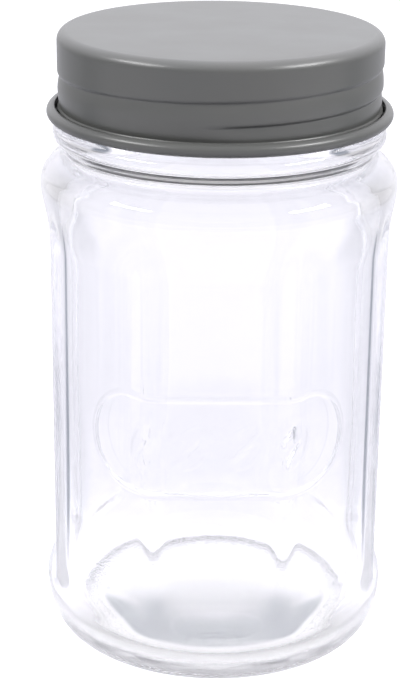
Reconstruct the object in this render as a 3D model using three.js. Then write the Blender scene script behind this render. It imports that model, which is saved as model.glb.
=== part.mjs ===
// A clear glass storage jar with eight flat panels, and the painted steel screw lid that closes it.
// Millimetres, +Z up, origin in the middle of the foot ring, front panel facing -Y.

import * as THREE from "three";

// Glass jar
const JAR_HEIGHT = 174.2; // foot to rim
const BODY_RADIUS = 50; // round heel and shoulder, the widest part
const WALL = 5.6; // at the round heel and shoulder
const PANEL_COUNT = 8;
const PANEL_DEPTH = 3.4; // from the round body in to the middle of a panel
const INNER_PANEL_SHARE = 0.65; // the inside is pressed less deep, so the wall is thinner along the panels
const PANEL_EDGE_RADIUS = 7; // rounding between neighbouring panels
const PANEL_BOTTOM = 24; // height at which the panels are fully flat
const PANEL_FADE = 16; // height over which the panels swell out to the shoulder
const HEEL_HEIGHT = 13.8; // height at which the heel reaches the body's radius
const HEEL_INSET = 6.6; // from the body's radius in to the ring that the jar stands on
const FOOT_WIDTH = 9; // flat ring that the jar stands on
const PUSH_UP = 3; // rise of the underside's middle
const BASE_THICKNESS = 4; // height of the floor's edge inside
const FLOOR_RISE = 2.5; // rise of the floor's middle
const INNER_HEEL_RADIUS = 9;

// Neck and mouth
const NECK_RADIUS = 43; // plain wall of the neck, at the root of its thread
const NECK_WALL = 3.8;
const RIM_ROUNDING = 1.3;
const BEAD_REACH = 3.6; // bead under the lid, out from the neck's wall
const BEAD_HEIGHT = 6.6;
const WAIST_HEIGHT = 3; // plain neck between the bead and the shoulder
const SHOULDER_RISE = 8.2; // from the shoulder's widest line up to the waist
const INNER_NECK_DROP = 5; // from the top of the bead down to where the bore begins to widen
const INNER_SHOULDER_DROP = 2; // from the shoulder's widest line down to where the bore is widest

// Lid and liner
const LID_HEIGHT = 24.1; // top to the bottom of the curl
const SHEET = 0.45; // steel
const LID_EDGE_RADIUS = 2.8; // rounding of the top edge, outside
const THREAD_ROOM = 1.45; // between the neck's wall and the inside of the skirt
const CURL_REACH = 3.1; // from the outside of the skirt to the outside of the curl
const CURL_TURN = 300; // degrees that the rolled edge turns through
const LINER_THICKNESS = 1.6;

// Clearances
const SEAT_GAP = 0.3; // rim to liner, and liner to lid
const LID_BEAD_GAP = 0.7; // curl to the bead below it

// Facets
const PANEL_FACES = 7; // round the axis on each panel, odd so that the edges between panels fall on faces
const FADE_STEPS = 5; // rings up the wall where the panels fade
const FLARE_STEPS = 6; // rings down the inside of the shoulder
const DOME_STEPS = 3;
const ARC_STEP = 22.5; // degrees between points on a rounded section

// Heights and radii that follow from the sizes above
const linerBottom = JAR_HEIGHT + SEAT_GAP;
const linerTop = linerBottom + LINER_THICKNESS;
const lidTop = linerTop + SEAT_GAP + SHEET;
const lidBottom = lidTop - LID_HEIGHT;
const lidRadius = NECK_RADIUS + THREAD_ROOM + SHEET;
const beadTop = lidBottom - LID_BEAD_GAP;
const beadMiddle = beadTop - BEAD_HEIGHT / 2;
const shoulderHeight = beadTop - BEAD_HEIGHT - WAIST_HEIGHT - SHOULDER_RISE;
const panelTop = shoulderHeight - PANEL_FADE;
const innerRadius = BODY_RADIUS - WALL;
const wallMiddle = BODY_RADIUS - WALL / 2;
const mouthRadius = NECK_RADIUS - NECK_WALL;
const footRadius = BODY_RADIUS - HEEL_INSET;

function point(radius, height) {
  return new THREE.Vector2(radius, height);
}

// Points on part of an ellipse in a section, from one angle to another in degrees.
function arc(centre, radii, from, to) {
  const start = THREE.MathUtils.degToRad(from);
  const end = THREE.MathUtils.degToRad(to);
  const curve = new THREE.EllipseCurve(centre.x, centre.y, radii.x, radii.y, start, end, to < from);
  return curve.getPoints(Math.ceil(Math.abs(to - from) / ARC_STEP));
}

// Points on a shallow dome in a section, from its edge to the axis.
function dome(radius, edgeHeight, rise) {
  return Array.from({ length: DOME_STEPS + 1 }, (_, i) => {
    const share = 1 - i / DOME_STEPS;
    return point(radius * share, edgeHeight + rise * (1 - share ** 2));
  });
}

// Solid of revolution about +Z, with its seam at the front.
function revolve(section) {
  const geometry = new THREE.LatheGeometry(section, PANEL_COUNT * PANEL_FACES);
  geometry.rotateX(Math.PI / 2);
  return geometry;
}

function part(name, geometry, material) {
  const mesh = new THREE.Mesh(geometry, material);
  mesh.name = name;
  return mesh;
}

// Radius of the panelled section in one direction: flats joined by round edges.
function panelRadius(angle) {
  const apothem = BODY_RADIUS - PANEL_DEPTH;
  const half = Math.PI / PANEL_COUNT;
  const fromMiddle = Math.abs(THREE.MathUtils.euclideanModulo(angle + half, 2 * half) - half);
  const edgeCentre = (apothem - PANEL_EDGE_RADIUS) / Math.cos(half);
  const flatEnd = Math.atan((edgeCentre * Math.sin(half)) / apothem);
  if (fromMiddle <= flatEnd) return apothem / Math.cos(fromMiddle);
  const fromEdge = half - fromMiddle;
  const across = edgeCentre * Math.sin(fromEdge);
  return edgeCentre * Math.cos(fromEdge) + Math.sqrt(PANEL_EDGE_RADIUS ** 2 - across ** 2);
}

// How far the section at a height has gone from round (0) to panelled (1).
function panelShare(height) {
  const { smoothstep } = THREE.MathUtils;
  const rise = smoothstep(height, HEEL_HEIGHT, PANEL_BOTTOM);
  return rise * (1 - smoothstep(height, panelTop, shoulderHeight));
}

// Presses the round wall into flat panels that fade out at heel and shoulder, less deep inside than outside.
function pressPanels(geometry) {
  const position = geometry.attributes.position;
  const vertex = new THREE.Vector3();
  for (let i = 0; i < position.count; i += 1) {
    vertex.fromBufferAttribute(position, i);
    const radius = Math.hypot(vertex.x, vertex.y);
    const depth = radius < wallMiddle ? INNER_PANEL_SHARE : 1;
    const share = depth * panelShare(vertex.z);
    if (share > 0) {
      const pressed = radius + share * (panelRadius(Math.atan2(vertex.x, -vertex.y)) - BODY_RADIUS);
      position.setXY(i, (vertex.x * pressed) / radius, (vertex.y * pressed) / radius);
    }
  }
}

// Heights of the rings along the wall: close together where the panels fade, none along the flats.
function wallHeights() {
  const heights = [];
  for (let i = 1; i <= FADE_STEPS; i += 1) {
    heights.push(THREE.MathUtils.lerp(HEEL_HEIGHT, PANEL_BOTTOM, i / FADE_STEPS));
  }
  for (let i = 0; i < FADE_STEPS; i += 1) {
    heights.push(THREE.MathUtils.lerp(panelTop, shoulderHeight, i / FADE_STEPS));
  }
  return heights;
}

// From the middle of the underside, up the outside, to the rim.
function outerSection() {
  const underside = dome(footRadius - FOOT_WIDTH, 0, PUSH_UP).reverse();
  const heel = arc(point(footRadius, HEEL_HEIGHT), point(HEEL_INSET, HEEL_HEIGHT), -90, 0);
  const wall = wallHeights().map((height) => point(BODY_RADIUS, height));
  const shoulderRadii = point(BODY_RADIUS - NECK_RADIUS, SHOULDER_RISE);
  const shoulder = arc(point(NECK_RADIUS, shoulderHeight), shoulderRadii, 0, 90);
  const bead = arc(point(NECK_RADIUS, beadMiddle), point(BEAD_REACH, BEAD_HEIGHT / 2), -90, 90);
  const rimCentre = point(NECK_RADIUS - RIM_ROUNDING, JAR_HEIGHT - RIM_ROUNDING);
  const rim = arc(rimCentre, point(RIM_ROUNDING, RIM_ROUNDING), 0, 90);
  return [...underside, ...heel, ...wall, ...shoulder, ...bead, ...rim];
}

// Points down the inside of the shoulder, where the bore widens in a soft S from the mouth to the wall.
function innerShoulder() {
  const { lerp, smoothstep } = THREE.MathUtils;
  const top = beadTop - INNER_NECK_DROP;
  const bottom = shoulderHeight - INNER_SHOULDER_DROP;
  return Array.from({ length: FLARE_STEPS + 1 }, (_, i) => {
    const share = i / FLARE_STEPS;
    const radius = lerp(mouthRadius, innerRadius, smoothstep(share, 0, 1));
    return point(radius, lerp(top, bottom, share));
  });
}

// From the rim, down the inside, to the middle of the floor.
function innerSection() {
  const rimCentre = point(mouthRadius + RIM_ROUNDING, JAR_HEIGHT - RIM_ROUNDING);
  const rim = arc(rimCentre, point(RIM_ROUNDING, RIM_ROUNDING), 90, 180);
  const heelTop = BASE_THICKNESS + INNER_HEEL_RADIUS;
  const heights = wallHeights().filter((height) => height > heelTop);
  const wall = heights.reverse().map((height) => point(innerRadius, height));
  const floorRadius = innerRadius - INNER_HEEL_RADIUS;
  const heel = arc(point(floorRadius, heelTop), point(INNER_HEEL_RADIUS, INNER_HEEL_RADIUS), 0, -90);
  const floor = dome(floorRadius, BASE_THICKNESS, FLOOR_RISE).slice(1);
  return [...rim, ...innerShoulder(), ...wall, ...heel, ...floor];
}

function glassJar() {
  const geometry = revolve([...outerSection(), ...innerSection()]);
  pressPanels(geometry);
  const glass = new THREE.MeshStandardMaterial({
    color: "#eef0f6",
    roughness: 0.05,
    metalness: 0,
    transparent: true,
    opacity: 0.3,
  });
  return part("glass_jar", geometry, glass);
}

// The lid's section as the middle line of its sheet: flat top, rounded edge, skirt, outward curl.
function sheetLine() {
  const skirt = lidRadius - SHEET / 2;
  const top = lidTop - SHEET / 2;
  const edge = LID_EDGE_RADIUS - SHEET / 2;
  const curl = CURL_REACH / 2;
  return [
    point(0, top),
    ...arc(point(skirt - edge, top - edge), point(edge, edge), 90, 0),
    ...arc(point(skirt + curl, lidBottom + SHEET / 2 + curl), point(curl, curl), 180, 180 + CURL_TURN),
  ];
}

// Gives a middle line the thickness of the sheet, as a closed section: along one side, back along the other.
function thicken(line) {
  const side = (offset) =>
    line.map((here, i) => {
      const before = line[Math.max(i - 1, 0)];
      const after = line[Math.min(i + 1, line.length - 1)];
      const along = point(after.x - before.x, after.y - before.y).normalize();
      const radius = i === 0 ? 0 : here.x - along.y * offset;
      return point(radius, here.y + along.x * offset);
    });
  return [...side(-SHEET / 2), ...side(SHEET / 2).reverse()];
}

function lidShell() {
  const paint = new THREE.MeshStandardMaterial({ color: "#6a6c6b", roughness: 0.45, metalness: 0 });
  return part("lid_shell", revolve(thicken(sheetLine())), paint);
}

// A flat disc that fills the flat of the lid's underside, inside its rounded edge.
function lidLiner() {
  const radius = lidRadius - LID_EDGE_RADIUS;
  const section = [
    point(0, linerBottom),
    point(radius, linerBottom),
    point(radius, linerTop),
    point(0, linerTop),
  ];
  const foam = new THREE.MeshStandardMaterial({ color: "#e9e8e3", roughness: 0.8, metalness: 0 });
  return part("lid_liner", revolve(section), foam);
}

const storageJar = new THREE.Group();
storageJar.add(glassJar(), lidShell(), lidLiner());

export default storageJar;
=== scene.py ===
# %% [markdown]
# # A panelled glass storage jar with a painted screw lid
#
# The jar is three real pieces: one piece of clear glass, one sheet of painted steel drawn into a lid, and
# a soft disc inside the lid that seals the mouth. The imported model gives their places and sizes. This
# lesson makes each surface again at full detail, in the same place, and gives it its finish.

# %% Load the frame
import math

import bmesh
import bpy
from mathutils import Matrix, Vector, noise


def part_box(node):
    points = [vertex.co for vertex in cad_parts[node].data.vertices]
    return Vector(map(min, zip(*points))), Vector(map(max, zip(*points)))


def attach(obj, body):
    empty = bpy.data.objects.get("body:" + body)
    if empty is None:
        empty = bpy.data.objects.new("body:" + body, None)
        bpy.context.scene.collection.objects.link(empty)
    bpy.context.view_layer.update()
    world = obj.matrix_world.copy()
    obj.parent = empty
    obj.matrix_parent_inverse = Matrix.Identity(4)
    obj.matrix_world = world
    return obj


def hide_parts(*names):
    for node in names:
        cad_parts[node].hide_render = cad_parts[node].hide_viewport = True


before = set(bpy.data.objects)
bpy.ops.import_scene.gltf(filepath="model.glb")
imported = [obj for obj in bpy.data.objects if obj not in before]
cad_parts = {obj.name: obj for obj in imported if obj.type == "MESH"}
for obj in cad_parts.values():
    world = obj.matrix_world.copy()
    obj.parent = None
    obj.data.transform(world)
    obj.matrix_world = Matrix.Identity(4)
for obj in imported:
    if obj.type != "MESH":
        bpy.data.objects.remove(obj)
scene = bpy.context.scene
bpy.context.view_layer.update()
MM = 0.001

# %% [markdown]
# ## Sizes
#
# Whatever the frame can tell is read from it: the jar's height and width, and where the lid and its liner
# sit. The rest are the small sizes of glass and sheet that a box can't show. All of them are in metres,
# written as millimetres.

# %% Sizes of the glass and the lid
jar_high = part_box("glass_jar")[1]
lid_low, lid_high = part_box("lid_shell")
liner_low, liner_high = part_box("lid_liner")
rim_height = jar_high.z
body_radius = jar_high.x
lid_top = lid_high.z
lid_bottom = lid_low.z

WALL = 5.6 * MM
PANELS = 8
PANEL_DEPTH = 3.4 * MM
INNER_PANEL_SHARE = 0.65
PANEL_EDGE_RADIUS = 7 * MM
HEEL_HEIGHT = 13.8 * MM
HEEL_INSET = 6.6 * MM
PANEL_BOTTOM = 24 * MM
PANEL_FADE = 16 * MM
FOOT_WIDTH = 9 * MM
PUSH_UP = 3 * MM
BASE_THICKNESS = 4 * MM
FLOOR_RISE = 2.5 * MM
INNER_HEEL_RADIUS = 9 * MM
NECK_RADIUS = 43 * MM
NECK_WALL = 3.8 * MM
RIM_ROUNDING = 1.3 * MM
BEAD_REACH = 3.6 * MM
BEAD_HEIGHT = 6.6 * MM
WAIST_HEIGHT = 3 * MM
SHOULDER_RISE = 8.2 * MM
INNER_NECK_DROP = 5 * MM
INNER_SHOULDER_DROP = 2 * MM
LID_BEAD_GAP = 0.7 * MM
SHEET = 0.45 * MM
LID_EDGE_RADIUS = 2.8 * MM
CURL_REACH = 3.1 * MM
CURL_TURN = 300

inner_radius = body_radius - WALL
mouth_radius = NECK_RADIUS - NECK_WALL
foot_radius = body_radius - HEEL_INSET
bead_top = lid_bottom - LID_BEAD_GAP
bead_middle = bead_top - BEAD_HEIGHT / 2
shoulder_height = bead_top - BEAD_HEIGHT - WAIST_HEIGHT - SHOULDER_RISE
panel_top = shoulder_height - PANEL_FADE
lid_radius = lid_high.x - CURL_REACH
print("shoulder at", round(shoulder_height / MM, 2), "mm, lid radius", round(lid_radius / MM, 2), "mm")

# %% [markdown]
# ## Camera
#
# The photograph looks down on the jar from about half a metre with a long lens, a little to the left of the
# front panel. The camera stands at the place that makes the rims, shoulder and foot fall where they do in
# the picture. It is set by distance, height and three small turns, so each can be changed by itself.

# %% Place the camera
PICTURE_HEIGHT = 696
FOCAL_PIXELS = 1881.75
CAMERA_DISTANCE = 511.3 * MM
CAMERA_HEIGHT = 276.7 * MM
CAMERA_AZIMUTH = math.radians(-1.4)
CAMERA_DOWN = 0.3611
CAMERA_ASIDE = 0.0094
CAMERA_ROLL = 0.0108
SENSOR = 36.0

camera_data = bpy.data.cameras.new("photo_camera")
camera_data.sensor_width = SENSOR
camera_data.lens = FOCAL_PIXELS * SENSOR / PICTURE_HEIGHT
camera_data.clip_start = 10 * MM
camera = bpy.data.objects.new("photo_camera", camera_data)
scene.collection.objects.link(camera)
orbit = Matrix.Rotation(CAMERA_AZIMUTH, 4, "Z")
stand = Matrix.Translation((0, -CAMERA_DISTANCE, CAMERA_HEIGHT))
aim = Matrix.Rotation(CAMERA_ASIDE, 4, "Z") @ Matrix.Rotation(math.pi / 2 - CAMERA_DOWN, 4, "X")
camera.matrix_world = orbit @ stand @ aim @ Matrix.Rotation(CAMERA_ROLL, 4, "Z")
scene.camera = camera
print("lens", round(camera_data.lens, 1), "mm")

# %% [markdown]
# ## Colour and light paths
#
# Standard keeps colours as they are written. Light that is caught in a thick glass base turns many times
# before it comes out again, and would go black if it were stopped early, so more bounces are allowed.

# %% Colour and bounces
BOUNCES = 64

scene.view_settings.view_transform = "Standard"
scene.cycles.max_bounces = BOUNCES
scene.cycles.glossy_bounces = BOUNCES
scene.cycles.transmission_bounces = BOUNCES
print(BOUNCES, "bounces")

# %% [markdown]
# ## Helpers
#
# Colours are written as they would be in a drawing program, as sRGB hex values, and Blender works in
# linear light, so one function translates. One more adds a node, sets its inputs and links it, so that a
# material reads as a short list. Settings that come up again have a name. A last one turns a finished
# bmesh into an object at the origin.

# %% Colour and node helpers
def linear(hex_colour):
    channels = [int(hex_colour[i:i + 2], 16) / 255 for i in (1, 3, 5)]
    return tuple(c / 12.92 if c <= 0.04045 else ((c + 0.055) / 1.055) ** 2.4 for c in channels) + (1.0,)


MULTIPLY = {"operation": "MULTIPLY"}
SUBTRACT = {"operation": "SUBTRACT"}
MAXIMUM = {"operation": "MAXIMUM"}
ABSOLUTE = {"operation": "ABSOLUTE"}
LENGTH = {"operation": "LENGTH"}
SMOOTH = {"interpolation_type": "SMOOTHSTEP"}
NUMBERS = {"data_type": "FLOAT"}
COLOURS = {"data_type": "RGBA"}


def add(tree, kind, settings=None, **inputs):
    """Adds a node. Settings are its own properties. An input is named with _ for a space, or with _ and its
    place in the list. It takes a value, a socket to link from, or a node, which gives its first socket."""
    node = tree.nodes.new(kind)
    for name, value in (settings or {}).items():
        setattr(node, name, value)
    for name, value in inputs.items():
        key = int(name[1:]) if name[1:].isdigit() else name.replace("_", " ")
        source = value.outputs[0] if isinstance(value, bpy.types.Node) else value
        if isinstance(source, bpy.types.NodeSocket):
            tree.links.new(source, node.inputs[key])
        else:
            node.inputs[key].default_value = source
    return node


# %% Material and object helpers
def new_material(name):
    material = bpy.data.materials.new(name)
    material.use_nodes = True
    material.node_tree.nodes.clear()
    return material, material.node_tree


def finish_piece(bm, name, body, node, material):
    """Makes the bmesh an object that stands for a CAD node and moves with its body."""
    for face in bm.faces:
        face.smooth = True
    mesh = bpy.data.meshes.new(name)
    bm.to_mesh(mesh)
    bm.free()
    mesh.materials.append(material)
    piece = bpy.data.objects.new(name, mesh)
    scene.collection.objects.link(piece)
    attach(piece, body)
    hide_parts(node)
    triangles = sum(len(p.vertices) - 2 for p in mesh.polygons)
    print(name, "has", triangles, "triangles")
    return piece


# %% [markdown]
# ## What clear glass shows
#
# Clear glass has no colour of its own: it shows the room, bent and squeezed. So the room is set up as a
# photographer would do it. A white paper sweep behind the jar gets darker where it ends at the sides, and
# a narrow dark card on each side draws the thin grey lines along the walls. To the camera itself all of it
# is white. Only rays that the glass bends or reflects see the sweep's ends and the cards.

# %% Parts of the room
STUDIO_WHITE = "#fbfaff"
WHITE = (1, 1, 1, 1)
# Turns from straight behind the jar, in degrees, where the dark starts, is full, fades and has ended.
SWEEP_ENDS = (18, 50, 95, 125)
CARD_SECTOR = (64, 72, 82, 90)


def sector(tree, place, turns):
    """1 at both sides of the jar between the two middle turns, 0 outside all four. Turn 0 is behind it."""
    starts, full, fades, ends = [math.radians(t) for t in turns]
    along = add(tree, "ShaderNodeSeparateXYZ", Vector=place).outputs
    turn = add(tree, "ShaderNodeMath", {"operation": "ARCTAN2"}, _0=along["X"], _1=along["Y"])
    aside = add(tree, "ShaderNodeMath", ABSOLUTE, _0=turn)
    opening = add(tree, "ShaderNodeMapRange", SMOOTH, Value=aside, From_Min=starts, From_Max=full,
                  To_Min=0.0, To_Max=1.0)
    closing = add(tree, "ShaderNodeMapRange", SMOOTH, Value=aside, From_Min=fades, From_Max=ends,
                  To_Min=1.0, To_Max=0.0)
    return add(tree, "ShaderNodeMath", MULTIPLY, _0=opening, _1=closing)


def seen_in_glass(tree, path):
    """1 for a ray that shows the camera something in glass or gloss, 0 for one that lights a surface."""
    bent = add(tree, "ShaderNodeMath", MAXIMUM, _0=path["Is Glossy Ray"], _1=path["Is Transmission Ray"])
    unlit = add(tree, "ShaderNodeMath", {"operation": "LESS_THAN"}, _0=path["Diffuse Depth"], _1=1.0)
    return add(tree, "ShaderNodeMath", MULTIPLY, _0=bent, _1=unlit)


# %% [markdown]
# ## Floor
#
# The floor is white paper. It glows a little to the camera, more so far away, where it runs into the white
# backdrop, and the lamps' light on top of that leaves the shadow. In the glass it is darker at the sides.
# Little light gets under the pushed-up base, so under the front half of it the floor carries a painted
# shadow, slightly blue and darkest to the left and right, and further in front of the jar painted light makes
# it lighter again; only the glass shows either. The light that it sends up to the lid is held back by a
# darker colour, which keeps the underside of the curl as dark as in the picture.

# %% Floor at the sides
FLOOR_SIDES = 0.38
SIDES_REACH = 0.5
CARD_START = (0.06, 0.12)
CARD_DARKNESS = 0.66


def side_darkness(tree, place, distance):
    """How dark the glass shows the floor: the sweep's ends or a card, whichever is darker."""
    spread = add(tree, "ShaderNodeMath", {"operation": "ADD"}, _0=distance, _1=SIDES_REACH)
    further = add(tree, "ShaderNodeMath", {"operation": "DIVIDE"}, _0=distance, _1=spread)
    further = add(tree, "ShaderNodeMath", MULTIPLY, _0=further, _1=FLOOR_SIDES)
    ends = add(tree, "ShaderNodeMath", MULTIPLY, _0=further, _1=sector(tree, place, SWEEP_ENDS))
    near = add(tree, "ShaderNodeMapRange", Value=distance, From_Min=CARD_START[0], From_Max=CARD_START[1],
               To_Min=0.0, To_Max=CARD_DARKNESS)
    cards = add(tree, "ShaderNodeMath", MULTIPLY, _0=near, _1=sector(tree, place, CARD_SECTOR))
    return add(tree, "ShaderNodeMath", MAXIMUM, _0=ends, _1=cards)


# %% Floor under the jar
# Painted shadow on the floor under the front half of the base's hollow, and painted light on the floor in
# front of the jar.
HOLLOW_MIDDLE = (8 * MM, 24 * MM)
HOLLOW_SHADES = (0.82, 0.63)
HOLLOW_ENDS = (14 * MM, 24 * MM)
ENDS_SHADE = 0.86
HOLLOW_EDGE = (30 * MM, 33.5 * MM)
LIGHT_IN_FRONT = (1.16, 1.5)
FRONT_REACH = (60 * MM, 110 * MM)
FRONT_EDGE = (-5 * MM, 10 * MM)
LIGHT_BEHIND = 0.96


def painted_shade_and_light_near_jar(tree, place, distance, bent):
    """The floor's painted shadow under the hollow and painted light in front of the jar, as the glass shows
    them. A straight ray sees the floor even.
    """
    along = add(tree, "ShaderNodeSeparateXYZ", Vector=place).outputs
    across = add(tree, "ShaderNodeMath", ABSOLUTE, _0=along["X"])
    middle = add(tree, "ShaderNodeMapRange", Value=distance, From_Min=HOLLOW_MIDDLE[0],
                 From_Max=HOLLOW_MIDDLE[1], To_Min=HOLLOW_SHADES[0], To_Max=HOLLOW_SHADES[1])
    ends = add(tree, "ShaderNodeMapRange", Value=across, From_Min=HOLLOW_ENDS[0], From_Max=HOLLOW_ENDS[1],
               To_Min=1.0, To_Max=ENDS_SHADE)
    shade = add(tree, "ShaderNodeMath", MULTIPLY, _0=middle, _1=ends)
    ahead = add(tree, "ShaderNodeMapRange", Value=distance, From_Min=FRONT_REACH[0], From_Max=FRONT_REACH[1],
                To_Min=LIGHT_IN_FRONT[0], To_Max=LIGHT_IN_FRONT[1])
    hollow = add(tree, "ShaderNodeMapRange", SMOOTH, Value=distance, From_Min=HOLLOW_EDGE[0],
                 From_Max=HOLLOW_EDGE[1], To_Min=shade, To_Max=ahead)
    front = add(tree, "ShaderNodeMapRange", SMOOTH, Value=along["Y"], From_Min=FRONT_EDGE[0],
                From_Max=FRONT_EDGE[1], To_Min=1.0, To_Max=0.0)
    front = add(tree, "ShaderNodeMath", MULTIPLY, _0=front, _1=bent)
    return add(tree, "ShaderNodeMix", NUMBERS, _0=front, _2=LIGHT_BEHIND, _3=hollow)


# %% Floor material
FLOOR_COLOUR = "#b2b2b6"
FLOOR_SHADE = "#002a3e"
FLOOR_BOUNCE = "#8a8b8e"
FLOOR_GLOW = (0.72, 1.0)
FAR_REACH = (0.3, 1.6)
FLOOR_GLOW_IN_GLASS = (0.02, 0.83)
GLOW_REACH = (0.05, 1.2)


def paper_glow(tree, path, distance, bent, level):
    """The paper's own light: to the camera more so far away, and in the glass as its level there says."""
    direct = add(tree, "ShaderNodeMapRange", Value=distance, From_Min=FAR_REACH[0], From_Max=FAR_REACH[1],
                 To_Min=FLOOR_GLOW[0], To_Max=FLOOR_GLOW[1])
    in_glass = add(tree, "ShaderNodeMapRange", Value=distance, From_Min=GLOW_REACH[0], From_Max=GLOW_REACH[1],
                   To_Min=FLOOR_GLOW_IN_GLASS[0], To_Max=FLOOR_GLOW_IN_GLASS[1])
    in_glass = add(tree, "ShaderNodeMath", MULTIPLY, _0=in_glass, _1=bent)
    in_glass = add(tree, "ShaderNodeMath", MULTIPLY, _0=in_glass, _1=level)
    strength = add(tree, "ShaderNodeMath", {"operation": "MULTIPLY_ADD"}, _0=path["Is Camera Ray"], _1=direct,
                   _2=in_glass)
    tone = add(tree, "ShaderNodeMix", COLOURS, _0=bent, _6=WHITE, _7=linear(STUDIO_WHITE)).outputs[2]
    return add(tree, "ShaderNodeEmission", Color=tone, Strength=strength)


def white_paper():
    material, tree = new_material("white_paper_sweep")
    path = add(tree, "ShaderNodeLightPath").outputs
    place = add(tree, "ShaderNodeTexCoord").outputs["Object"]
    distance = add(tree, "ShaderNodeVectorMath", LENGTH, _0=place).outputs["Value"]
    bent = add(tree, "ShaderNodeMath", MAXIMUM, _0=seen_in_glass(tree, path), _1=path["Is Transmission Ray"])
    dark = add(tree, "ShaderNodeMath", MULTIPLY, _0=side_darkness(tree, place, distance), _1=bent)
    level = add(tree, "ShaderNodeMath", SUBTRACT, _0=1.0, _1=dark)
    # The level carries the painted shadow under the hollow and the painted light in front of the jar.
    level = add(tree, "ShaderNodeMath", MULTIPLY, _0=level, _1=painted_shade_and_light_near_jar(tree, place, distance, bent))
    colour = add(tree, "ShaderNodeMix", {"clamp_factor": False, **COLOURS}, _0=level, _6=linear(FLOOR_SHADE),
                 _7=linear(FLOOR_COLOUR)).outputs[2]
    colour = add(tree, "ShaderNodeMix", COLOURS, _0=path["Is Diffuse Ray"], _6=colour,
                 _7=linear(FLOOR_BOUNCE)).outputs[2]
    paper = add(tree, "ShaderNodeBsdfDiffuse", Color=colour)
    both = add(tree, "ShaderNodeAddShader", _0=paper, _1=paper_glow(tree, path, distance, bent, level))
    add(tree, "ShaderNodeOutputMaterial", Surface=both)
    return material


# %% Floor sheet
FLOOR_SIZE = 6.0
FLOOR_DROP = 0.15 * MM

bm = bmesh.new()
bmesh.ops.create_grid(bm, x_segments=1, y_segments=1, size=FLOOR_SIZE / 2)
floor_mesh = bpy.data.meshes.new("floor")
bm.to_mesh(floor_mesh)
bm.free()
floor_mesh.materials.append(white_paper())
floor = bpy.data.objects.new("floor", floor_mesh)
floor.location.z = -FLOOR_DROP
scene.collection.objects.link(floor)
print("floor", FLOOR_SIZE, "m across")

# %% [markdown]
# ## World and softboxes
#
# The world is white to the camera and in the glass, and only dim as a light. Low down at the sides the
# glass sees the sweep's ends in it too. The light comes from three softboxes: two long ones left and right
# of the camera and one above. The glass doesn't see the lamps through itself, because the white floor
# already stands for their light, and the lid doesn't reflect the top one as a bright square.

# %% World
WORLD_LIGHT = 0.18
WORLD_SIDES = 0.3
HORIZON = (8, 16)

world = bpy.data.worlds.new("studio")
scene.world = world
world.use_nodes = True
tree = world.node_tree
tree.nodes.clear()
path = add(tree, "ShaderNodeLightPath").outputs
bent = seen_in_glass(tree, path)
direction = add(tree, "ShaderNodeTexCoord").outputs["Generated"]
rise = add(tree, "ShaderNodeSeparateXYZ", Vector=direction).outputs["Z"]
dark_to, white_from = [math.sin(math.radians(angle)) for angle in HORIZON]
low = add(tree, "ShaderNodeMapRange", Value=rise, From_Min=dark_to, From_Max=white_from, To_Min=WORLD_SIDES,
          To_Max=0.0)
dark = add(tree, "ShaderNodeMath", MULTIPLY, _0=low, _1=sector(tree, direction, SWEEP_ENDS))
white = add(tree, "ShaderNodeMath", SUBTRACT, _0=1.0, _1=dark)
level = add(tree, "ShaderNodeMix", NUMBERS, _0=bent, _2=WORLD_LIGHT, _3=white)
level = add(tree, "ShaderNodeMix", NUMBERS, _0=path["Is Camera Ray"], _2=level, _3=1.0)
tone = add(tree, "ShaderNodeMix", COLOURS, _0=bent, _6=WHITE, _7=linear(STUDIO_WHITE)).outputs[2]
sky = add(tree, "ShaderNodeBackground", Color=tone, Strength=level)
add(tree, "ShaderNodeOutputWorld", Surface=sky)
print("world light", WORLD_LIGHT)


# %% Softboxes
def softbox(name, azimuth, elevation, distance, size, watts, colour="#ffffff"):
    """A rectangular area light that faces the jar's middle. Azimuth 0 is the camera's side."""
    light = bpy.data.lights.new(name, "AREA")
    light.shape = "RECTANGLE"
    light.size, light.size_y = size
    light.energy = watts
    light.color = linear(colour)[:3]
    lamp = bpy.data.objects.new(name, light)
    a, e = math.radians(azimuth), math.radians(elevation)
    away = Vector((math.sin(a) * math.cos(e), -math.cos(a) * math.cos(e), math.sin(e)))
    target = Vector((0, 0, lid_top / 2))
    facing = away.to_track_quat("Z", "Y").to_matrix().to_4x4()
    lamp.matrix_world = Matrix.Translation(target + away * distance) @ facing
    lamp.visible_transmission = False
    scene.collection.objects.link(lamp)
    return lamp


LONG_BOX = {"elevation": 40, "distance": 0.9, "size": (0.40, 0.12)}
softbox("softbox_left", azimuth=-66, watts=4.5, **LONG_BOX)
softbox("softbox_right", azimuth=66, watts=5.7, **LONG_BOX)
top_lamp = softbox("softbox_top", azimuth=180, elevation=78, distance=1.1, size=(0.18, 0.18), watts=15.5,
                   colour="#f7f5ff")
top_lamp.visible_glossy = False
print("three softboxes")

# %% [markdown]
# ## Sections
#
# Glass and lid are both turned shapes, so each starts as a section: a line of points to one side of the
# axis. Straight runs and parts of ellipses are all that the sections need. The section becomes a chain
# of bmesh vertices and edges, and the spin operator turns it through a full circle.

# %% Section helpers
MERGE_DISTANCE = 0.001 * MM


def run(start, end, spacing):
    """Points on a straight run, without its last point."""
    steps = max(1, math.ceil((Vector(end) - Vector(start)).length / spacing))
    return [Vector(start).lerp(Vector(end), i / steps) for i in range(steps)]


def arc(centre, radii, start, end, steps):
    """Points on part of an ellipse, without its last point. Angles are in degrees."""
    points = []
    for i in range(steps):
        angle = math.radians(start + (end - start) * i / steps)
        across = centre[0] + radii[0] * math.cos(angle)
        up = centre[1] + radii[1] * math.sin(angle)
        points.append(Vector((across, up)))
    return points


def chain(points):
    """A bmesh with the section's points joined in a row, on the front side of the axis."""
    bm = bmesh.new()
    row = [bm.verts.new((0, -p[0], p[1])) for p in points]
    for a, b in zip(row[:-1], row[1:]):
        bm.edges.new((a, b))
    return bm


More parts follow.
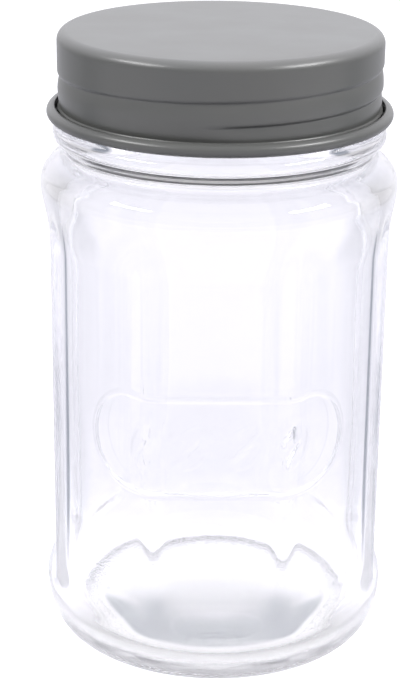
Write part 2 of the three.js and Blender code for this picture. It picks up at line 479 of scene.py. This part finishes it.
def spin(bm, steps):
    """Turns the section round the axis, closes the seam and the poles, and points the faces outwards."""
    section = bm.verts[:] + bm.edges[:]
    bmesh.ops.spin(bm, geom=section, cent=(0, 0, 0), axis=(0, 0, 1), angle=math.tau, steps=steps,
                   use_merge=True)
    bmesh.ops.remove_doubles(bm, verts=bm.verts[:], dist=MERGE_DISTANCE)
    bmesh.ops.recalc_face_normals(bm, faces=bm.faces[:])


# %% Curves
def smoothstep(value, low, high):
    """0 up to the low value and 1 from the high one, with a smooth rise between them."""
    t = min(max((value - low) / (high - low), 0), 1)
    return t * t * (3 - 2 * t)


def bell(distance, half_width):
    """1 at the middle of a rib, falling smoothly to 0 at its edge."""
    t = min(abs(distance) / half_width, 1)
    return (1 + math.cos(math.pi * t)) / 2


def crease(distance, half_width):
    """1 on a sharp line, falling to 0 in a round curve, as between two bulging bands of sheet."""
    return (1 - min(abs(distance) / half_width, 1)) ** 2


# %% [markdown]
# ## Screw thread
#
# One right-hand helix is shared by neck and lid. On the glass it is a low rounded rib. On the lid it is a
# sharp crease between two bulging bands of sheet, which hooks under the rib. Both rise by the same pitch
# as the lid's joint, so that the two slide past each other when the lid turns.

# %% Thread helix
PITCH = 6.35 * MM
LID_THREAD_START = 159.8 * MM
LID_THREAD_TURNS = (-0.03, 1.5)
LID_THREAD_DEPTH = 0.65 * MM
LID_THREAD_WIDTHS = (1.3 * MM, 4.5 * MM)
THREAD_SHIFT = 3.1 * MM
GLASS_THREAD_START = LID_THREAD_START + THREAD_SHIFT
GLASS_THREAD_TURNS = (-0.1, 1.35)
GLASS_THREAD_HEIGHT = 0.85 * MM
GLASS_THREAD_WIDTHS = (1.3 * MM, 1.3 * MM)
THREAD_END = 0.06
THREAD_LAPS = (-1, 0, 1, 2)


def front_angle(co):
    """Angle round the axis from the front, growing towards the right."""
    return math.atan2(co.x, -co.y)


def thread_share(co, start, turns, widths, shape):
    """1 on the thread's line, 0 beyond its widths above and below it. It fades at both ends."""
    share = 0
    for lap in THREAD_LAPS:
        turn = front_angle(co) / math.tau + lap
        fade = smoothstep(turn, turns[0], turns[0] + THREAD_END)
        fade *= 1 - smoothstep(turn, turns[1] - THREAD_END, turns[1])
        up = co.z - start - PITCH * turn
        share = max(share, fade * shape(up, widths[0] if up > 0 else widths[1]))
    return share


def move_out(vertex, distance):
    """Moves a vertex straight away from the axis."""
    radius = math.hypot(vertex.co.x, vertex.co.y)
    vertex.co.x *= (radius + distance) / radius
    vertex.co.y *= (radius + distance) / radius


# %% [markdown]
# ## Glass jar
#
# The section runs from the middle of the underside, up the outside, over the rim, and down the inside to
# the middle of the floor, so that the spun shell is closed and a ray meets real glass of real thickness.
# The corners of waist and bead are softened on the chain of points, before it is spun, as molten glass
# would round them.

# %% Outside of the glass
RELIEF_BAND = (56 * MM, 89 * MM)
UNDERSIDE_STEPS = 12
HEEL_STEPS = 16
SHOULDER_STEPS = 16
BEAD_STEPS = 20
FOOT_SPACING = 1.2 * MM
FADE_SPACING = 0.9 * MM
WALL_SPACING = 4 * MM
RELIEF_SPACING = 1 * MM
WAIST_SPACING = 0.5 * MM
THREAD_SPACING = 0.6 * MM


def bowed(radius, height, rise, share):
    """A point of a bowed base, at a share of its radius."""
    return Vector((radius * share, height + rise * (1 - share * share)))


def outside_line():
    foot_inner = foot_radius - FOOT_WIDTH
    fine_low, fine_high = RELIEF_BAND
    waist_low = shoulder_height + SHOULDER_RISE
    shoulder = (body_radius - NECK_RADIUS, SHOULDER_RISE)
    return [
        *[bowed(foot_inner, 0, PUSH_UP, i / UNDERSIDE_STEPS) for i in range(UNDERSIDE_STEPS)],
        *run((foot_inner, 0), (foot_radius, 0), FOOT_SPACING),
        *arc((foot_radius, HEEL_HEIGHT), (HEEL_INSET, HEEL_HEIGHT), -90, 0, HEEL_STEPS),
        *run((body_radius, HEEL_HEIGHT), (body_radius, PANEL_BOTTOM), FADE_SPACING),
        *run((body_radius, PANEL_BOTTOM), (body_radius, fine_low), WALL_SPACING),
        *run((body_radius, fine_low), (body_radius, fine_high), RELIEF_SPACING),
        *run((body_radius, fine_high), (body_radius, panel_top), WALL_SPACING),
        *run((body_radius, panel_top), (body_radius, shoulder_height), FADE_SPACING),
        *arc((NECK_RADIUS, shoulder_height), shoulder, 0, 90, SHOULDER_STEPS),
        *run((NECK_RADIUS, waist_low), (NECK_RADIUS, bead_top - BEAD_HEIGHT), WAIST_SPACING),
        *arc((NECK_RADIUS, bead_middle), (BEAD_REACH, BEAD_HEIGHT / 2), -90, 90, BEAD_STEPS),
        *run((NECK_RADIUS, bead_top), (NECK_RADIUS, rim_height - RIM_ROUNDING), THREAD_SPACING),
    ]


# %% Rim and inside of the glass
RIM_STEPS = 7
FLARE_STEPS = 18
INNER_HEEL_STEPS = 12
FLOOR_STEPS = 10
INNER_SPACING = 5 * MM
INNER_FADE_SPACING = 1.4 * MM


def rim_line():
    rounding = (RIM_ROUNDING, RIM_ROUNDING)
    low = rim_height - RIM_ROUNDING
    return [
        *arc((NECK_RADIUS - RIM_ROUNDING, low), rounding, 0, 90, RIM_STEPS),
        *arc((mouth_radius + RIM_ROUNDING, low), rounding, 90, 180, RIM_STEPS),
    ]


def inside_line():
    heel_top = BASE_THICKNESS + INNER_HEEL_RADIUS
    heel = (INNER_HEEL_RADIUS, INNER_HEEL_RADIUS)
    floor_radius = inner_radius - INNER_HEEL_RADIUS
    flare_top = bead_top - INNER_NECK_DROP
    flare_bottom = shoulder_height - INNER_SHOULDER_DROP
    flare = []
    for i in range(FLARE_STEPS):
        share = i / FLARE_STEPS
        radius = mouth_radius + (inner_radius - mouth_radius) * smoothstep(share, 0, 1)
        flare.append(Vector((radius, flare_top + (flare_bottom - flare_top) * share)))
    shares = [1 - i / FLOOR_STEPS for i in range(FLOOR_STEPS + 1)]
    return [
        *run((mouth_radius, rim_height - RIM_ROUNDING), (mouth_radius, flare_top), INNER_SPACING),
        *flare,
        *run((inner_radius, flare_bottom), (inner_radius, panel_top), INNER_FADE_SPACING),
        *run((inner_radius, panel_top), (inner_radius, PANEL_BOTTOM), INNER_SPACING),
        *run((inner_radius, PANEL_BOTTOM), (inner_radius, heel_top), INNER_FADE_SPACING),
        *arc((floor_radius, heel_top), heel, 0, -90, INNER_HEEL_STEPS),
        *[bowed(floor_radius, BASE_THICKNESS, FLOOR_RISE, share) for share in shares],
    ]


glass_section = [*outside_line(), *rim_line(), *inside_line()]
print("the glass section has", len(glass_section), "points")

# %% [markdown]
# The panels are pressed into the round wall by a formula: the radius of an octagon with rounded edges,
# blended with the round body at heel and shoulder. The inside gets about two thirds of the outside's
# depth, as in blown glass, so the wall is thicker along the panel edges. Blown glass is never quite true
# inside, so the inner wall also gets a slow ripple of about a tenth of a millimetre, which makes the bent
# light uneven in the way that real jars show.

# %% Panels
RIPPLE = 0.12 * MM
RIPPLE_LENGTH = 22 * MM
apothem = body_radius - PANEL_DEPTH


def panel_radius(angle):
    """Radius of the octagon with rounded edges, at an angle from the front."""
    half = math.pi / PANELS
    from_middle = abs((angle + half) % (2 * half) - half)
    edge_centre = (apothem - PANEL_EDGE_RADIUS) / math.cos(half)
    flat_end = math.atan(edge_centre * math.sin(half) / apothem)
    if from_middle <= flat_end:
        return apothem / math.cos(from_middle)
    from_edge = half - from_middle
    across = edge_centre * math.sin(from_edge)
    return edge_centre * math.cos(from_edge) + math.sqrt(PANEL_EDGE_RADIUS ** 2 - across ** 2)


def panel_share(height):
    """0 where the body is round, 1 where it is an octagon."""
    rise = smoothstep(height, HEEL_HEIGHT, PANEL_BOTTOM)
    return rise * (1 - smoothstep(height, panel_top, shoulder_height))


def press_panels(bm):
    for vertex in bm.verts:
        share = panel_share(vertex.co.z)
        if share > 0:
            press = panel_radius(front_angle(vertex.co)) - body_radius
            if math.hypot(vertex.co.x, vertex.co.y) < inner_radius + WALL / 2:
                press = press * INNER_PANEL_SHARE + RIPPLE * noise.noise(vertex.co / RIPPLE_LENGTH)
            move_out(vertex, share * press)


# %% [markdown]
# ## Raised frame and beans
#
# The front carries a long raised frame with round ends, which runs over two panel edges. Inside it is a
# row of plain coffee beans, which tells what the jar can hold. Both are low rounded relief, so the faces
# under them are subdivided first, and their vertices are then pushed out by the distance to the drawn
# line.

# %% Relief on the front
FRAME_MIDDLE = 72.2 * MM
FRAME_HALF_LENGTH = 40 * MM
FRAME_HALF_HEIGHT = 14 * MM
FRAME_LINE = 1.3 * MM
FRAME_RAISE = 0.3 * MM
BEAN_PLACES = (-21 * MM, -7 * MM, 7 * MM, 21 * MM)
BEAN_HALF_SIZE = (4.6 * MM, 7.2 * MM)
BEAN_TILT = math.radians(24)
BEAN_RAISE = 0.4 * MM
BEAN_FULLNESS = 4
BEAN_BOW = 0.9 * MM
BEAN_CREASE = 0.9 * MM
BEAN_CREASE_SHARE = 0.7
RELIEF_MARGIN = 3 * MM
RELIEF_CUTS = 2


def along_panels(angle):
    """Distance from the middle of the front panel, measured along the panels' faces."""
    pitch = 2 * math.pi / PANELS
    panel = round(angle / pitch)
    return apothem * (2 * panel * math.tan(pitch / 2) + math.tan(angle - panel * pitch))


def bean_relief(across, up):
    """Height of the beans at a point: an oval cushion with a bowed crease along its middle."""
    relief = 0
    for place in BEAN_PLACES:
        x = across - place
        u = x * math.cos(BEAN_TILT) - up * math.sin(BEAN_TILT)
        v = x * math.sin(BEAN_TILT) + up * math.cos(BEAN_TILT)
        edge = math.hypot(u / BEAN_HALF_SIZE[0], v / BEAN_HALF_SIZE[1])
        if edge < 1:
            bow = BEAN_BOW * math.sin(math.pi * v / BEAN_HALF_SIZE[1])
            groove = BEAN_CREASE_SHARE * bell(u - bow, BEAN_CREASE)
            relief = BEAN_RAISE * (1 - edge ** BEAN_FULLNESS) * (1 - groove)
    return relief


def front_relief(co):
    """Height of the frame and the beans at a point of the front."""
    across = along_panels(front_angle(co))
    up = co.z - FRAME_MIDDLE
    straight = FRAME_HALF_LENGTH - FRAME_HALF_HEIGHT
    to_frame = math.hypot(max(abs(across) - straight, 0), up) - FRAME_HALF_HEIGHT
    return FRAME_RAISE * bell(to_frame, FRAME_LINE) + bean_relief(across, up)


def on_front(co):
    """Whether a point lies on the outside near the frame."""
    reach = FRAME_HALF_HEIGHT + RELIEF_MARGIN
    outside = math.hypot(co.x, co.y) > apothem - WALL / 2
    near = abs(co.z - FRAME_MIDDLE) < reach and abs(front_angle(co)) < math.pi / 2
    return outside and near and abs(along_panels(front_angle(co))) < FRAME_HALF_LENGTH + RELIEF_MARGIN


def emboss_front(bm):
    patch = [f for f in bm.faces if all(on_front(v.co) for v in f.verts)]
    edges = list({e for f in patch for e in f.edges})
    bmesh.ops.subdivide_edges(bm, edges=edges, cuts=RELIEF_CUTS, use_grid_fill=True)
    for vertex in bm.verts:
        if on_front(vertex.co):
            move_out(vertex, front_relief(vertex.co))


# %% Make the glass jar
GLASS_STEPS = 224
SOFTEN_PASSES = 12
SOFTEN_SHARE = 0.5
SOFTEN_MARGIN = 1 * MM


def soften_neck(bm):
    """Rounds the corners of waist and bead on the section."""
    low = shoulder_height + SHOULDER_RISE / 2
    high = bead_top + SOFTEN_MARGIN
    inner = NECK_RADIUS - SOFTEN_MARGIN
    neck = [v for v in bm.verts if low < v.co.z < high and -v.co.y > inner]
    for _ in range(SOFTEN_PASSES):
        bmesh.ops.smooth_vert(bm, verts=neck, factor=SOFTEN_SHARE, use_axis_x=True, use_axis_y=True,
                              use_axis_z=True)


def raise_thread(bm):
    """Raises the rib that the lid screws on."""
    for vertex in bm.verts:
        outside = math.hypot(vertex.co.x, vertex.co.y) > NECK_RADIUS - RIM_ROUNDING / 2
        if outside and vertex.co.z > bead_top:
            share = thread_share(vertex.co, GLASS_THREAD_START, GLASS_THREAD_TURNS, GLASS_THREAD_WIDTHS, bell)
            move_out(vertex, GLASS_THREAD_HEIGHT * share)


def glass_mesh():
    bm = chain(glass_section)
    soften_neck(bm)
    spin(bm, GLASS_STEPS)
    raise_thread(bm)
    press_panels(bm)
    emboss_front(bm)
    return bm


# %% [markdown]
# ## Clear soda-lime glass
#
# The real material is flint container glass, fire-polished outside by the mould's heat. It gives the eye
# clear light in the middle, bent light at the edges and a faint blue-grey where a ray travels far through
# the wall. Roughness is zero, the index is that of soda-lime glass, and the tint is an absorption in the
# volume, so that it grows with thickness as in real glass. The ring that the jar stands on and the lowest
# part of the heel are stippled, as the mould leaves them, and scatter the light there. Rays can't find a
# lamp through bent glass, so its shadow would be black: the glass casts none and the lid casts its own.

# %% Glass material
GLASS_IOR = 1.52
GLASS_TINT = "#c0c8dc"
GLASS_DENSITY = 0.6
CHILL_SIZE = 14 * MM
CHILL_DEPTH = 0.02 * MM
CHILL_STRENGTH = 0.25
STIPPLE_SPACING = 0.7 * MM
STIPPLE_DEPTH = 0.15 * MM
STIPPLE_TOP = (3 * MM, 6 * MM)
STIPPLE_START = (34 * MM, 35.5 * MM)


def foot_ring(tree, place):
    """1 on the ring that the jar stands on, fading up the heel, 0 under the hollow."""
    height = add(tree, "ShaderNodeSeparateXYZ", Vector=place).outputs["Z"]
    foot = add(tree, "ShaderNodeMapRange", Value=height, From_Min=STIPPLE_TOP[0], From_Max=STIPPLE_TOP[1],
               To_Min=1.0, To_Max=0.0)
    level = add(tree, "ShaderNodeVectorMath", MULTIPLY, _0=place, _1=(1, 1, 0))
    radius = add(tree, "ShaderNodeVectorMath", LENGTH, _0=level).outputs["Value"]
    return add(tree, "ShaderNodeMapRange", Value=radius, From_Min=STIPPLE_START[0],
               From_Max=STIPPLE_START[1], To_Min=0.0, To_Max=foot)


def clear_glass():
    material, tree = new_material("clear_soda_lime_glass")
    place = add(tree, "ShaderNodeTexCoord").outputs["Object"]
    chill = add(tree, "ShaderNodeTexNoise", Vector=place, Scale=1 / CHILL_SIZE, Detail=1.0)
    wave = add(tree, "ShaderNodeBump", Height=chill.outputs["Fac"], Strength=CHILL_STRENGTH,
               Distance=CHILL_DEPTH)
    dots = add(tree, "ShaderNodeTexVoronoi", Vector=place, Scale=1 / STIPPLE_SPACING)
    stipple = add(tree, "ShaderNodeMath", MULTIPLY, _0=dots.outputs["Distance"], _1=foot_ring(tree, place))
    grain = add(tree, "ShaderNodeBump", Height=stipple, Strength=1.0, Distance=STIPPLE_DEPTH,
                Normal=wave)
    surface = add(tree, "ShaderNodeBsdfPrincipled", Base_Color=WHITE, Roughness=0.0, IOR=GLASS_IOR,
                  Transmission_Weight=1.0, Normal=grain)
    inside = add(tree, "ShaderNodeVolumeAbsorption", Color=linear(GLASS_TINT), Density=GLASS_DENSITY)
    add(tree, "ShaderNodeOutputMaterial", Surface=surface, Volume=inside)
    return material


jar = finish_piece(glass_mesh(), "jar_glass", "jar", "glass_jar", clear_glass())
jar.visible_shadow = False

# %% [markdown]
# ## Lid
#
# The lid is one sheet of steel, so it is made as one: its outside line is spun, the thread is rolled into
# the skirt, and the solidify operator then gives the sheet its thickness on the inside. The skirt is drawn
# in a little towards its foot. There the edge rolls outwards into a curl that hides the cut edge and
# stiffens the rim.

# %% Lid sheet
LID_STEPS = 288
TOP_SPACING = 4 * MM
SKIRT_SPACING = 0.25 * MM
LID_EDGE_STEPS = 12
CURL_STEPS = 26
TUCK = 0.55 * MM
TUCK_TOP = 162.5 * MM
skirt_low = lid_bottom + CURL_REACH
skirt_high = lid_top - LID_EDGE_RADIUS


def lid_section():
    curl = CURL_REACH / 2
    edge_radius = lid_radius - LID_EDGE_RADIUS
    curl_centre = (lid_radius - SHEET / 2 + curl, lid_bottom + SHEET / 2 + curl)
    curl_inside = curl - SHEET / 2
    return [
        *run((0, lid_top), (edge_radius, lid_top), TOP_SPACING),
        *arc((edge_radius, skirt_high), (LID_EDGE_RADIUS, LID_EDGE_RADIUS), 90, 0, LID_EDGE_STEPS),
        *run((lid_radius, skirt_high), (lid_radius, curl_centre[1]), SKIRT_SPACING),
        *arc(curl_centre, (curl_inside, curl_inside), 180, 180 + CURL_TURN, CURL_STEPS),
    ]


def lid_mesh():
    bm = chain(lid_section())
    spin(bm, LID_STEPS)
    for vertex in bm.verts:
        on_skirt = math.hypot(vertex.co.x, vertex.co.y) < lid_radius + SHEET
        if on_skirt and skirt_low < vertex.co.z < skirt_high:
            share = thread_share(vertex.co, LID_THREAD_START, LID_THREAD_TURNS, LID_THREAD_WIDTHS, crease)
            tuck = TUCK * (max(TUCK_TOP - vertex.co.z, 0) / (TUCK_TOP - skirt_low)) ** 2
            move_out(vertex, -LID_THREAD_DEPTH * share - tuck)
    bmesh.ops.solidify(bm, geom=bm.faces[:], thickness=SHEET)
    return bm


# %% [markdown]
# ## Satin grey enamel
#
# The steel is sprayed and baked. Up close such paint has a fine orange peel, which breaks the edge of a
# reflection without hiding it, and its gloss is never quite even. The peel is about a millimetre across.

# %% Paint material
PAINT = "#636564"
PAINT_WARM = "#666664"
PAINT_IOR = 1.5
PEEL_SIZE = 0.9 * MM
PEEL_DEPTH = 0.02 * MM
PEEL_STRENGTH = 0.3
CLOUD_SIZE = 25 * MM
CLOUD_RANGE = (0.3, 0.7)
PAINT_ROUGHNESS = (0.29, 0.36)


def grey_enamel():
    material, tree = new_material("satin_grey_enamel")
    place = add(tree, "ShaderNodeTexCoord").outputs["Object"]
    peel = add(tree, "ShaderNodeTexNoise", Vector=place, Scale=1 / PEEL_SIZE, Detail=2.0)
    cloud = add(tree, "ShaderNodeTexNoise", Vector=place, Scale=1 / CLOUD_SIZE, Detail=3.0).outputs["Fac"]
    shade = add(tree, "ShaderNodeMix", COLOURS, _0=cloud, _6=linear(PAINT), _7=linear(PAINT_WARM)).outputs[2]
    gloss = add(tree, "ShaderNodeMapRange", Value=cloud, From_Min=CLOUD_RANGE[0], From_Max=CLOUD_RANGE[1],
                To_Min=PAINT_ROUGHNESS[0], To_Max=PAINT_ROUGHNESS[1])
    bump = add(tree, "ShaderNodeBump", Height=peel.outputs["Fac"], Strength=PEEL_STRENGTH,
               Distance=PEEL_DEPTH)
    surface = add(tree, "ShaderNodeBsdfPrincipled", Base_Color=shade, Roughness=gloss, IOR=PAINT_IOR,
                  Normal=bump)
    add(tree, "ShaderNodeOutputMaterial", Surface=surface)
    return material


finish_piece(lid_mesh(), "lid_enamelled", "lid", "lid_shell", grey_enamel())

# %% [markdown]
# ## Liner
#
# The seal is a disc cut from foamed polyethylene. It keeps the ring that the rim has pressed into it. The
# disc is a spun section too, with that ring in its lower face and edges that the cutter has rounded.

# %% Liner disc
LINER_STEPS = 160
LINER_EDGE = 0.3 * MM
LINER_EDGE_STEPS = 4
LINER_FACE_SPACING = 0.6 * MM
LINER_BACK_SPACING = 6 * MM
IMPRINT_DEPTH = 0.18 * MM


def liner_mesh():
    low = liner_low.z
    high = liner_high.z
    flat = liner_high.x - LINER_EDGE
    rounding = (LINER_EDGE, LINER_EDGE)
    bm = chain([
        *run((0, low), (flat, low), LINER_FACE_SPACING),
        *arc((flat, low + LINER_EDGE), rounding, -90, 0, LINER_EDGE_STEPS),
        *arc((flat, high - LINER_EDGE), rounding, 0, 90, LINER_EDGE_STEPS),
        *run((flat, high), (0, high), LINER_BACK_SPACING),
        Vector((0, high)),
    ])
    rim_middle = (NECK_RADIUS + mouth_radius) / 2
    for vertex in bm.verts:
        if vertex.co.z < low + LINER_EDGE / 2:
            vertex.co.z += IMPRINT_DEPTH * bell(-vertex.co.y - rim_middle, NECK_WALL / 2)
    spin(bm, LINER_STEPS)
    return bm


# %% [markdown]
# ## Foamed polyethylene
#
# The foam is white and dull, with closed cells of about half a millimetre that show as a fine pattern of
# shallow dimples. A Voronoi texture at that scale gives both the dimples and their slightly darker edges.

# %% Liner material
FOAM = "#f0efea"
FOAM_EDGE = "#e4e3dd"
FOAM_CELL = 0.5 * MM
FOAM_DEPTH = 0.05 * MM
FOAM_STRENGTH = 0.4
FOAM_ROUGHNESS = 0.7
FOAM_IOR = 1.5


def white_foam():
    material, tree = new_material("foamed_polyethylene")
    place = add(tree, "ShaderNodeTexCoord").outputs["Object"]
    cells = add(tree, "ShaderNodeTexVoronoi", Vector=place, Scale=1 / FOAM_CELL).outputs["Distance"]
    shade = add(tree, "ShaderNodeMix", COLOURS, _0=cells, _6=linear(FOAM), _7=linear(FOAM_EDGE)).outputs[2]
    bump = add(tree, "ShaderNodeBump", Height=cells, Strength=FOAM_STRENGTH, Distance=FOAM_DEPTH)
    surface = add(tree, "ShaderNodeBsdfPrincipled", Base_Color=shade, Roughness=FOAM_ROUGHNESS, IOR=FOAM_IOR,
                  Normal=bump)
    add(tree, "ShaderNodeOutputMaterial", Surface=surface)
    return material


finish_piece(liner_mesh(), "liner_disc", "liner", "lid_liner", white_foam())
